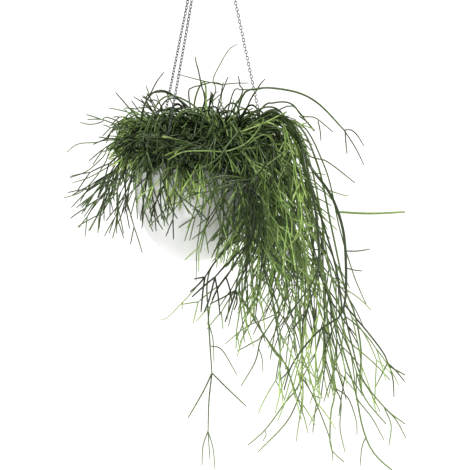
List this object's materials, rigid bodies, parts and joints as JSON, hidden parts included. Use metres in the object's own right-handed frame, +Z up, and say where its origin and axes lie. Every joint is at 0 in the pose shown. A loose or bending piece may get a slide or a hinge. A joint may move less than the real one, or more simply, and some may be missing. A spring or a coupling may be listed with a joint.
{
  "type": "mistletoe cactus in a hanging pot",
  "caption": "Trailing cactus with thin forked round stems in a white bowl-shaped pot, hung by fine chains from a wire hook.",
  "frame": {"origin": "inner top of the hook's bend, where the assembly hangs", "axes": "+Z up, -Y towards the pictured front, +X towards the side on which the stems trail furthest down"},
  "size_m": [0.6595, 0.4313, 1.0725],
  "materials": {
    "pot": "matt white, smooth",
    "soil": "dark moist potting soil",
    "steel": "bright galvanised wire",
    "stem": "green succulent stems, paler and yellower at the tips"
  },
  "bodies": {
    "root": {"hanging_pot": "pot", "soil": "soil", "hanger_hook": "steel", "chain_right": "steel", "chain_back_left": "steel", "chain_front_left": "steel", "rim_hook_right": "steel", "rim_hook_back_left": "steel", "rim_hook_front_left": "steel", "spray_back_right": "stem", "spray_back": "stem", "spray_back_left": "stem", "spray_left": "stem", "spray_front_left": "stem", "spray_front": "stem", "spray_front_right": "stem", "spray_right_front": "stem", "spray_right": "stem", "spray_right_back": "stem"}
  },
  "joints": []
}
